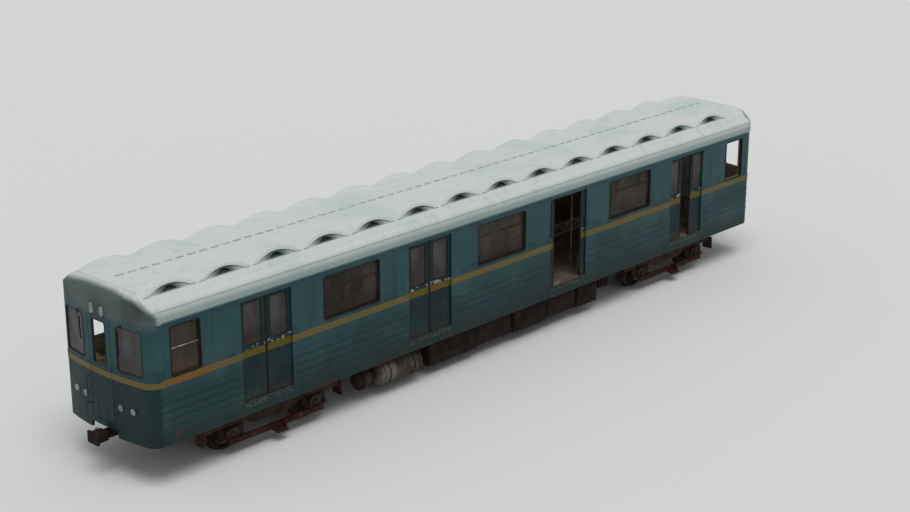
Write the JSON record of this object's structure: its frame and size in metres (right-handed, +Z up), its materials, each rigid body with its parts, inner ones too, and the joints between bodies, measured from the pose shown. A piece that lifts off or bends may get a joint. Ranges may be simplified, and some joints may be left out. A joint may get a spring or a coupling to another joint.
{
  "type": "metro car",
  "caption": "Underground railway car with a driver's cab: ribbed body, sliding leaf doors, roof scoops and two motored bogies.",
  "frame": {"origin": "centre of the car's plan at the lowest point of the wheel flanges", "axes": "+X forward towards the driver's cab, +Y to the left side, +Z up"},
  "size_m": [19.44, 2.72, 3.768],
  "materials": {
    "body_paint": "weathered blue-green enamel",
    "belt_paint": "weathered ochre enamel",
    "roof_paint": "pale chalky enamel",
    "leaf_paint": "dark blue-green enamel",
    "lining": "grimy yellow-brown laminate",
    "floor": "worn dark linoleum",
    "seat": "brown leatherette",
    "rail_metal": "dull stainless tube",
    "glass": "dirty glass",
    "lamp": "frosted lamp glass",
    "frame_rust": "rusted window frame",
    "underframe": "sooty dark grey",
    "equipment": "dark grey-brown covers",
    "reservoir": "dusty grey-brown tank",
    "bogie": "rust-brown frame",
    "wheel_steel": "worn wheel steel",
    "beam_wood": "red-brown beam"
  },
  "bodies": {
    "car_body": {"air_reservoir": "reservoir", "belt_mouldings": "belt_paint", "cab_desk": "lining", "cab_end": "body_paint", "cab_partition": "lining", "ceiling": "lining", "cross_bearers": "underframe", "door_tracks": "underframe", "end_glass": "glass", "equipment_left": "equipment", "equipment_right": "equipment", "floor": "floor", "grab_rails": "rail_metal", "headlamps": "lamp", "lining_left": "lining", "lining_right": "lining", "rear_end": "body_paint", "roof": "roof_paint", "roof_scoops": "roof_paint", "seats": "seat", "side_glass": "glass", "side_wall_left": "body_paint", "side_wall_right": "body_paint", "top_lamps": "lamp", "underframe": "underframe", "window_frames": "frame_rust"},
    "leaf_left_1_front": {"leaf_left_1_front": "leaf_paint"},
    "leaf_left_1_rear": {"leaf_left_1_rear": "leaf_paint"},
    "leaf_left_2_front": {"leaf_left_2_front": "leaf_paint"},
    "leaf_left_2_rear": {"leaf_left_2_rear": "leaf_paint"},
    "leaf_left_3_front": {"leaf_left_3_front": "leaf_paint"},
    "leaf_left_3_rear": {"leaf_left_3_rear": "leaf_paint"},
    "leaf_left_4_front": {"leaf_left_4_front": "leaf_paint"},
    "leaf_left_4_rear": {"leaf_left_4_rear": "leaf_paint"},
    "leaf_right_1_front": {"leaf_right_1_front": "leaf_paint"},
    "leaf_right_1_rear": {"leaf_right_1_rear": "leaf_paint"},
    "leaf_right_2_front": {"leaf_right_2_front": "leaf_paint"},
    "leaf_right_2_rear": {"leaf_right_2_rear": "leaf_paint"},
    "leaf_right_3_front": {"leaf_right_3_front": "leaf_paint"},
    "leaf_right_3_rear": {"leaf_right_3_rear": "leaf_paint"},
    "leaf_right_4_front": {"leaf_right_4_front": "leaf_paint"},
    "leaf_right_4_rear": {"leaf_right_4_rear": "leaf_paint"},
    "cab_door": {"cab_door": "body_paint"},
    "rear_door": {"rear_door": "body_paint"},
    "partition_door": {"partition_door": "lining"},
    "bogie_front": {"bogie_frame_front": "bogie", "axle_boxes_front": "bogie", "collector_beams_front": "beam_wood", "traction_motors_front": "bogie"},
    "wheelset_front_1": {"wheelset_front_1": "wheel_steel"},
    "wheelset_front_2": {"wheelset_front_2": "wheel_steel"},
    "bogie_rear": {"bogie_frame_rear": "bogie", "axle_boxes_rear": "bogie", "collector_beams_rear": "beam_wood", "traction_motors_rear": "bogie"},
    "wheelset_rear_1": {"wheelset_rear_1": "wheel_steel"},
    "wheelset_rear_2": {"wheelset_rear_2": "wheel_steel"},
    "coupler_front": {"coupler_front": "bogie"},
    "coupler_rear": {"coupler_rear": "bogie"}
  },
  "joints": [
    {"name": "leaf_left_1_front_slide", "type": "slide", "parent": "car_body", "child": "leaf_left_1_front", "axis": [1, 0, 0], "range_m": [0, 0.58]},
    {"name": "leaf_left_1_rear_slide", "type": "slide", "parent": "car_body", "child": "leaf_left_1_rear", "axis": [-1, 0, 0], "range_m": [0, 0.58]},
    {"name": "leaf_left_2_front_slide", "type": "slide", "parent": "car_body", "child": "leaf_left_2_front", "axis": [1, 0, 0], "range_m": [0, 0.58]},
    {"name": "leaf_left_2_rear_slide", "type": "slide", "parent": "car_body", "child": "leaf_left_2_rear", "axis": [-1, 0, 0], "range_m": [0, 0.58]},
    {"name": "leaf_left_3_front_slide", "type": "slide", "parent": "car_body", "child": "leaf_left_3_front", "axis": [1, 0, 0], "range_m": [-0.45, 0.13]},
    {"name": "leaf_left_3_rear_slide", "type": "slide", "parent": "car_body", "child": "leaf_left_3_rear", "axis": [-1, 0, 0], "range_m": [-0.45, 0.13]},
    {"name": "leaf_left_4_front_slide", "type": "slide", "parent": "car_body", "child": "leaf_left_4_front", "axis": [1, 0, 0], "range_m": [-0.17, 0.41]},
    {"name": "leaf_left_4_rear_slide", "type": "slide", "parent": "car_body", "child": "leaf_left_4_rear", "axis": [-1, 0, 0], "range_m": [-0.17, 0.41]},
    {"name": "leaf_right_1_front_slide", "type": "slide", "parent": "car_body", "child": "leaf_right_1_front", "axis": [1, 0, 0], "range_m": [0, 0.58]},
    {"name": "leaf_right_1_rear_slide", "type": "slide", "parent": "car_body", "child": "leaf_right_1_rear", "axis": [-1, 0, 0], "range_m": [0, 0.58]},
    {"name": "leaf_right_2_front_slide", "type": "slide", "parent": "car_body", "child": "leaf_right_2_front", "axis": [1, 0, 0], "range_m": [0, 0.58]},
    {"name": "leaf_right_2_rear_slide", "type": "slide", "parent": "car_body", "child": "leaf_right_2_rear", "axis": [-1, 0, 0], "range_m": [0, 0.58]},
    {"name": "leaf_right_3_front_slide", "type": "slide", "parent": "car_body", "child": "leaf_right_3_front", "axis": [1, 0, 0], "range_m": [0, 0.58]},
    {"name": "leaf_right_3_rear_slide", "type": "slide", "parent": "car_body", "child": "leaf_right_3_rear", "axis": [-1, 0, 0], "range_m": [0, 0.58]},
    {"name": "leaf_right_4_front_slide", "type": "slide", "parent": "car_body", "child": "leaf_right_4_front", "axis": [1, 0, 0], "range_m": [0, 0.58]},
    {"name": "leaf_right_4_rear_slide", "type": "slide", "parent": "car_body", "child": "leaf_right_4_rear", "axis": [-1, 0, 0], "range_m": [0, 0.58]},
    {"name": "cab_door_hinge", "type": "hinge", "parent": "car_body", "child": "cab_door", "pos_m": [9.368, 0.326, 2.06], "axis": [0, 0, -1], "range_deg": [0, 90]},
    {"name": "rear_door_hinge", "type": "hinge", "parent": "car_body", "child": "rear_door", "pos_m": [-9.368, -0.326, 2.06], "axis": [0, 0, -1], "range_deg": [0, 90]},
    {"name": "partition_door_hinge", "type": "hinge", "parent": "car_body", "child": "partition_door", "pos_m": [7.937, 0.676, 2.06], "axis": [0, 0, 1], "range_deg": [0, 90]},
    {"name": "bogie_front_yaw", "type": "hinge", "parent": "car_body", "child": "bogie_front", "pos_m": [6.3, 0, 0.75], "axis": [0, 0, 1], "range_deg": [-6, 6]},
    {"name": "wheelset_front_1_spin", "type": "hinge", "parent": "bogie_front", "child": "wheelset_front_1", "pos_m": [7.35, 0, 0.418], "axis": [0, 1, 0], "continuous": true},
    {"name": "wheelset_front_2_spin", "type": "hinge", "parent": "bogie_front", "child": "wheelset_front_2", "pos_m": [5.25, 0, 0.418], "axis": [0, 1, 0], "continuous": true},
    {"name": "bogie_rear_yaw", "type": "hinge", "parent": "car_body", "child": "bogie_rear", "pos_m": [-6.3, 0, 0.75], "axis": [0, 0, 1], "range_deg": [-6, 6]},
    {"name": "wheelset_rear_1_spin", "type": "hinge", "parent": "bogie_rear", "child": "wheelset_rear_1", "pos_m": [-5.25, 0, 0.418], "axis": [0, 1, 0], "continuous": true},
    {"name": "wheelset_rear_2_spin", "type": "hinge", "parent": "bogie_rear", "child": "wheelset_rear_2", "pos_m": [-7.35, 0, 0.418], "axis": [0, 1, 0], "continuous": true},
    {"name": "coupler_front_swing", "type": "hinge", "parent": "car_body", "child": "coupler_front", "pos_m": [8.56, 0, 0.77], "axis": [0, 0, 1], "range_deg": [-12, 12]},
    {"name": "coupler_rear_swing", "type": "hinge", "parent": "car_body", "child": "coupler_rear", "pos_m": [-8.56, 0, 0.77], "axis": [0, 0, 1], "range_deg": [-12, 12]}
  ],
  "couplings": [
    {"joint": "leaf_left_1_rear_slide", "follows": "leaf_left_1_front_slide", "ratio": 1},
    {"joint": "leaf_left_2_rear_slide", "follows": "leaf_left_2_front_slide", "ratio": 1},
    {"joint": "leaf_left_3_rear_slide", "follows": "leaf_left_3_front_slide", "ratio": 1},
    {"joint": "leaf_left_4_rear_slide", "follows": "leaf_left_4_front_slide", "ratio": 1},
    {"joint": "leaf_right_1_rear_slide", "follows": "leaf_right_1_front_slide", "ratio": 1},
    {"joint": "leaf_right_2_rear_slide", "follows": "leaf_right_2_front_slide", "ratio": 1},
    {"joint": "leaf_right_3_rear_slide", "follows": "leaf_right_3_front_slide", "ratio": 1},
    {"joint": "leaf_right_4_rear_slide", "follows": "leaf_right_4_front_slide", "ratio": 1}
  ]
}
